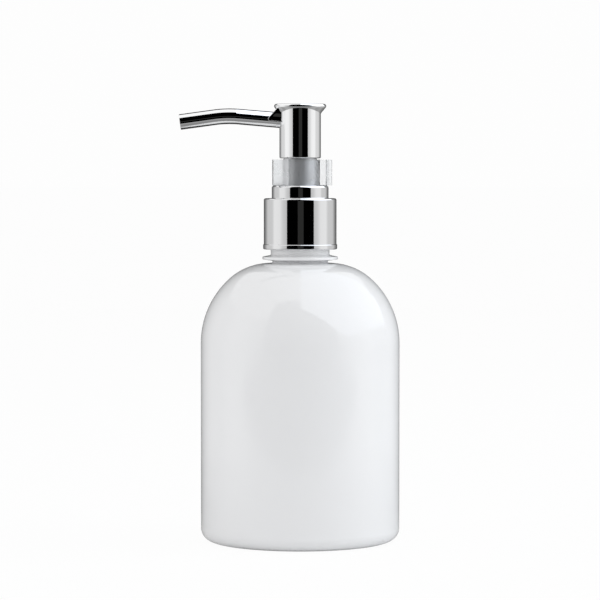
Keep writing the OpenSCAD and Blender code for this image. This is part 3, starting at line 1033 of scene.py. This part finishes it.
card("back_card", 180, BACK_AT, half_angle=20, bottom=0.0, top=3.0, colour=BACK_GREY)
card("front_card", 0.8, FRONT_AT, half_angle=43.1, bottom=0.0, top=2.75, colour=BLACK)
card("front_slot", 1.6, SLOT_AT, half_angle=9, bottom=0.07, top=0.24, colour=SLOT_GREY)

table_at = Matrix.Translation((0.0, -(TABLE_NEAR + FRONT_AT) / 2, TABLE_UP))
table = flat_plane("front_table", wide(TABLE_ANGLE, 1.0), FRONT_AT - TABLE_NEAR, table_at)
dress(table, card_material("front_table", TABLE_BLACK))

roof_at = Matrix.Translation(ROOF_PLACE) @ Matrix.Rotation(ROOF_TILT, 4, "Y")
roof_card = flat_plane("roof_card", *ROOF_SIZE, roof_at)
dress(roof_card, card_material("roof_card", ROOF_WHITE))
print("five cards set")

# %% [markdown]
# Four softboxes light what isn't chrome. The strong one stands on the right, slightly blue
# as daylight is, and the others fill the left, the front and the top. They show in no
# reflection and not through the clip, because the cards alone draw the bands there.

# %% The lamps


def softbox(name, place, aim, side, watts, colour=(1.0, 1.0, 1.0)):
    """A square lamp that faces a point and shows in no reflection."""
    data = bpy.data.lights.new(name, "AREA")
    data.shape = "RECTANGLE"
    data.size = side
    data.size_y = side
    data.energy = watts
    data.color = colour
    lamp = bpy.data.objects.new(name, data)
    lamp.location = place
    lamp.rotation_mode = "QUATERNION"
    lamp.rotation_quaternion = (Vector(aim) - Vector(place)).to_track_quat("-Z", "Y")
    lamp.visible_glossy = False
    lamp.visible_transmission = False
    bpy.context.scene.collection.objects.link(lamp)


BODY_AT, COLLAR_AT, NECK_AT = (0, 0, 0.08), (0, 0, 0.13), (0, 0, 0.12)
softbox("lamp_right", (1.3, -0.05, 0.75), BODY_AT, side=0.9, watts=6.5, colour=(0.9, 0.95, 1.0))
softbox("lamp_left", (-1.3, -0.2, 0.6), BODY_AT, side=0.9, watts=2.7)
softbox("lamp_front", (0.0, -1.5, 0.35), COLLAR_AT, side=0.7, watts=1.2)
softbox("lamp_top", (0.35, -0.35, 1.3), NECK_AT, side=0.8, watts=1.7, colour=(0.97, 0.98, 1.0))
print("four softboxes set")

# %% [markdown]
# ## Floor and background
#
# The background is white because the floor and the world show white to the camera, not
# because more light falls on the object. Light Path tells the camera's rays from the light
# that reaches the object. The floor is part white glow and part plain matt floor, so it
# keeps the soft shadow at the bottle's foot. In the metal the floor has the tent's tone of
# its direction, and a painted shade darkens it close to the bottle.

# %% The floor and the world
# The floor's share of white glow for the camera, and the tone of the painted shade on its glow in the
# metal next to the bottle.
FLOOR_GLOW, FLOOR_SHADE_IN_METAL = 0.95, 0.42
FLOOR_SIZE, FLOOR_DROP = 40.0, 0.0001
FLOOR_PALE, FLOOR_ROUGH = (0.9, 0.9, 0.9, 1.0), 0.9
# The painted shade on the floor's glow in the metal fades out between these two distances from the
# bottle, in metres.
SHADE_NEAR, SHADE_FAR = 0.15, 0.5
WORLD_LIGHT, WORLD_IN_METAL = 0.65, (1.04, 1.04, 1.04, 1.0)
BACKGROUND_WHITE = (0.985, 0.985, 0.985, 1.0)


def floor_in_metal(nodes, links):
    """The glow that the floor has in a reflection, with a painted shade close to the bottle."""
    grey = nodes.new("ShaderNodeEmission")
    place = nodes.new("ShaderNodeTexCoord")
    away = nodes.new("ShaderNodeVectorMath")
    away.operation = "LENGTH"
    # Painted shade: the floor's glow in the metal is dimmed next to the bottle and rises to its full
    # tone farther away.
    painted_shade = nodes.new("ShaderNodeMapRange")
    painted_shade.inputs["From Min"].default_value = SHADE_NEAR
    painted_shade.inputs["From Max"].default_value = SHADE_FAR
    painted_shade.inputs["To Min"].default_value = FLOOR_SHADE_IN_METAL
    dim = nodes.new("ShaderNodeVectorMath")
    dim.operation = "SCALE"
    links.new(place.outputs["Object"], away.inputs[0])
    links.new(away.outputs["Value"], painted_shade.inputs["Value"])
    links.new(tent_tone(nodes, links), dim.inputs["Vector"])
    links.new(painted_shade.outputs["Result"], dim.inputs["Scale"])
    links.new(dim.outputs["Vector"], grey.inputs["Color"])
    return grey.outputs["Emission"]


def floor_material():
    """A white floor that keeps a faint shadow."""
    material, nodes, links = new_material("studio_floor")
    shader = principled(material)
    shader.inputs["Base Color"].default_value = FLOOR_PALE
    shader.inputs["Roughness"].default_value = FLOOR_ROUGH
    path = nodes.new("ShaderNodeLightPath")
    share = calculate(nodes, "MULTIPLY", FLOOR_GLOW)
    glow = nodes.new("ShaderNodeEmission")
    mix = nodes.new("ShaderNodeMixShader")
    shown = nodes.new("ShaderNodeMixShader")
    links.new(seen_directly(nodes, links, path), share.inputs[0])
    links.new(share.outputs["Value"], mix.inputs["Fac"])
    links.new(shader.outputs["BSDF"], mix.inputs[1])
    links.new(glow.outputs["Emission"], mix.inputs[2])
    links.new(in_reflections(nodes, links, path), shown.inputs["Fac"])
    links.new(mix.outputs["Shader"], shown.inputs[1])
    links.new(floor_in_metal(nodes, links), shown.inputs[2])
    links.new(shown.outputs["Shader"], nodes["Material Output"].inputs["Surface"])
    return material


def white_world():
    """A world that lights at one strength and shows one white to the camera, one to metal."""
    world = bpy.data.worlds.new("studio")
    world.use_nodes = True
    nodes, links = world.node_tree.nodes, world.node_tree.links
    ambient = nodes["Background"]
    ambient.inputs["Strength"].default_value = WORLD_LIGHT
    ambient.inputs["Color"].default_value = (1.0, 1.0, 1.0, 1.0)
    mirrored = nodes.new("ShaderNodeBackground")
    mirrored.inputs["Color"].default_value = WORLD_IN_METAL
    backdrop = nodes.new("ShaderNodeBackground")
    backdrop.inputs["Color"].default_value = BACKGROUND_WHITE
    path = nodes.new("ShaderNodeLightPath")
    by_metal = nodes.new("ShaderNodeMixShader")
    by_eye = nodes.new("ShaderNodeMixShader")
    links.new(seen_directly(nodes, links, path), by_eye.inputs["Fac"])
    links.new(ambient.outputs["Background"], by_eye.inputs[1])
    links.new(backdrop.outputs["Background"], by_eye.inputs[2])
    links.new(in_reflections(nodes, links, path), by_metal.inputs["Fac"])
    links.new(by_eye.outputs["Shader"], by_metal.inputs[1])
    links.new(mirrored.outputs["Background"], by_metal.inputs[2])
    links.new(by_metal.outputs["Shader"], nodes["World Output"].inputs["Surface"])
    bpy.context.scene.world = world


floor_at = Matrix.Translation((0.0, 0.0, -FLOOR_DROP))
floor = flat_plane("studio_floor", FLOOR_SIZE, FLOOR_SIZE, floor_at)
dress(floor, floor_material())
white_world()
bpy.context.scene.view_settings.view_transform = "Standard"
print("studio: floor, light tent, 5 cards and 4 softboxes")
